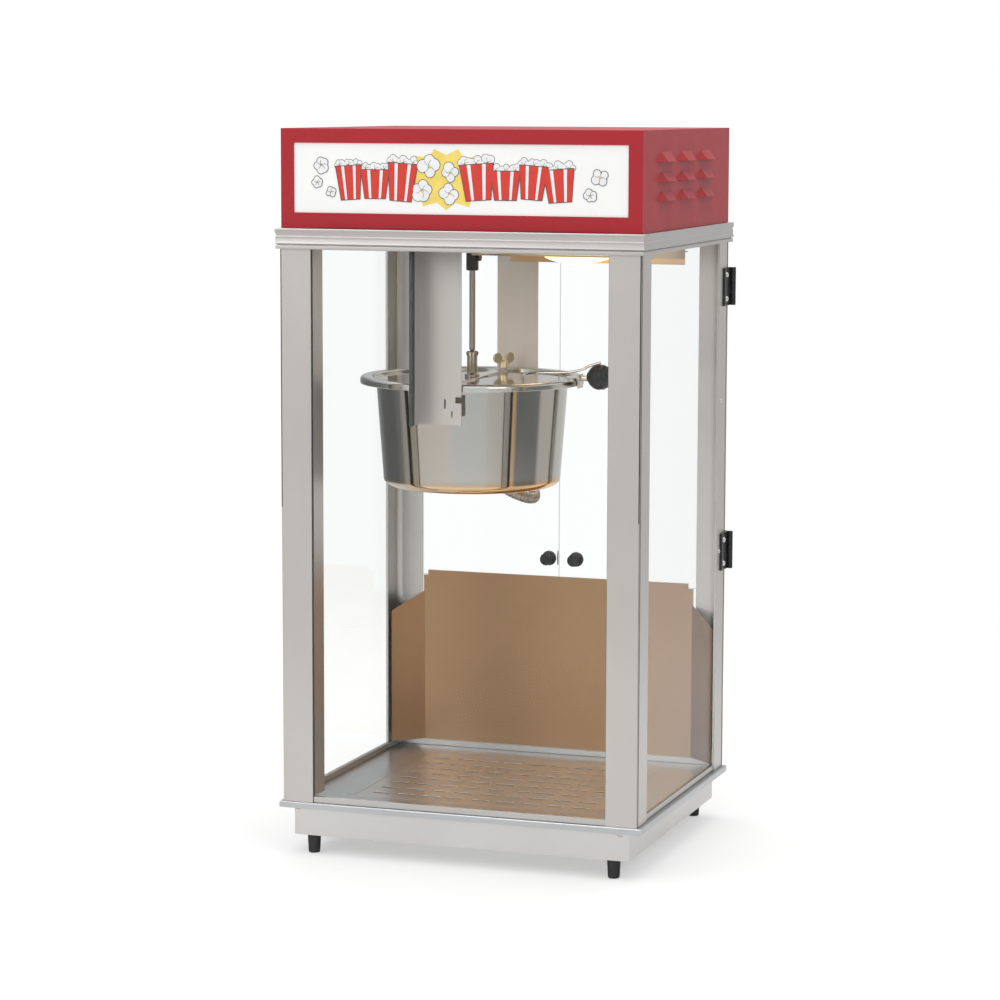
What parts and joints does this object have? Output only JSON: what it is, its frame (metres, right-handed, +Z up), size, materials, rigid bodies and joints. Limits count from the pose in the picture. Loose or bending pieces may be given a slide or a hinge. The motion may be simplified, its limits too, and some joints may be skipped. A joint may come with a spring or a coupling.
{
  "type": "popcorn maker",
  "caption": "Countertop popcorn cabinet with a hanging kettle that tilts on its arms, a stirrer, a red dome with a sign and louvres, glass sides and clear rear doors.",
  "frame": {"origin": "bottom centre of the whole machine, on the surface its feet stand on", "axes": "+Z up, -Y is the front with the fixed glass, +X is to the right of a person facing the front"},
  "size_m": [0.4506, 0.4032, 0.85],
  "materials": {
    "red_paint": "satin powder coat",
    "aluminium": "satin anodised",
    "stainless": "brushed",
    "polished_steel": "polished",
    "kettle_alloy": "spun, satin",
    "glass": "clear",
    "acrylic": "clear plastic",
    "sign_white": "smooth",
    "black_plastic": "satin",
    "black_steel": "black coated",
    "black_rubber": "matt",
    "steel": "bright",
    "motor_grey": "satin",
    "ceramic": "glazed",
    "lamp_glass": "frosted",
    "conduit": "wound flexible tube"
  },
  "bodies": {
    "cabinet": {"base_skirt": "stainless", "foot_front_left": "black_rubber", "foot_front_right": "black_rubber", "foot_rear_left": "black_rubber", "foot_rear_right": "black_rubber", "deck_plate": "stainless", "floor_screen": "stainless", "post_front_left": "aluminium", "post_front_right": "aluminium", "post_rear_left": "aluminium", "post_rear_right": "aluminium", "lower_frame": "aluminium", "upper_frame": "aluminium", "glass_front": "glass", "glass_left": "glass", "glass_right": "glass", "glass_stop_left": "aluminium", "glass_stop_right": "aluminium", "cornice": "aluminium", "dome_housing": "red_paint", "sign_panel": "sign_white", "rear_panel": "red_paint", "switch_plate": "black_plastic", "cord_gland": "black_plastic", "ceiling_plate": "stainless", "gear_motor": "motor_grey", "lamp_reflector": "stainless", "flood_lamp": "lamp_glass", "lamp_socket": "ceramic", "hanger_arm_front": "stainless", "hanger_arm_rear": "stainless", "kettle_lead": "conduit", "rear_shield": "stainless", "hinge_upper_left_post": "black_steel", "hinge_lower_left_post": "black_steel", "hinge_upper_right_post": "black_steel", "hinge_lower_right_post": "black_steel"},
    "kettle": {"kettle_shell": "polished_steel", "kettle_pan": "kettle_alloy", "heating_element": "steel", "kettle_bridge": "polished_steel", "lid_fixed": "polished_steel", "kettle_handle": "polished_steel", "handle_knob": "black_plastic"},
    "flap": {"lid_flap": "polished_steel"},
    "stirrer": {"stirrer": "steel"},
    "drive": {"drive_rod": "steel", "shaft_coupling": "black_plastic"},
    "door_left": {"door_left": "acrylic", "hinge_upper_left_door": "black_steel", "hinge_lower_left_door": "black_steel", "door_pull_left": "black_plastic"},
    "door_right": {"door_right": "acrylic", "hinge_upper_right_door": "black_steel", "hinge_lower_right_door": "black_steel", "door_pull_right": "black_plastic"},
    "drawer": {"crumb_drawer": "stainless"},
    "rocker_motor": {"rocker_motor": "black_plastic"},
    "rocker_kettle": {"rocker_kettle": "black_plastic"},
    "rocker_light": {"rocker_light": "black_plastic"}
  },
  "joints": [
    {"name": "kettle_tilt", "type": "hinge", "parent": "cabinet", "child": "kettle", "pos_m": [-0.04, -0.01065, 0.539], "axis": [0, 1, 0], "range_deg": [0, 55], "deforming": ["kettle_lead"]},
    {"name": "lid_flap_hinge", "type": "hinge", "parent": "kettle", "child": "flap", "pos_m": [-0.0373, -0.01065, 0.5524], "axis": [0, -1, 0], "range_deg": [0, 75]},
    {"name": "stirrer_spin", "type": "hinge", "parent": "kettle", "child": "stirrer", "pos_m": [-0.048, -0.01065, 0.5], "axis": [0, 0, 1], "continuous": true},
    {"name": "drive_spin", "type": "hinge", "parent": "cabinet", "child": "drive", "pos_m": [-0.048, -0.01065, 0.65], "axis": [0, 0, 1], "continuous": true},
    {"name": "door_left_hinge", "type": "hinge", "parent": "cabinet", "child": "door_left", "pos_m": [-0.2218, 0.18015, 0.5], "axis": [0, 0, 1], "range_deg": [0, 110]},
    {"name": "door_right_hinge", "type": "hinge", "parent": "cabinet", "child": "door_right", "pos_m": [0.2218, 0.18015, 0.5], "axis": [0, 0, -1], "range_deg": [0, 110]},
    {"name": "drawer_slide", "type": "slide", "parent": "cabinet", "child": "drawer", "axis": [0, 1, 0], "range_m": [0, 0.22]},
    {"name": "rocker_motor_tip", "type": "hinge", "parent": "cabinet", "child": "rocker_motor", "pos_m": [-0.13, 0.16935, 0.79], "axis": [-1, 0, 0], "range_deg": [0, 20]},
    {"name": "rocker_kettle_tip", "type": "hinge", "parent": "cabinet", "child": "rocker_kettle", "pos_m": [-0.095, 0.16935, 0.79], "axis": [-1, 0, 0], "range_deg": [0, 20]},
    {"name": "rocker_light_tip", "type": "hinge", "parent": "cabinet", "child": "rocker_light", "pos_m": [-0.06, 0.16935, 0.79], "axis": [-1, 0, 0], "range_deg": [0, 20]}
  ],
  "couplings": [
    {"joint": "drive_spin", "follows": "stirrer_spin", "ratio": 1}
  ]
}
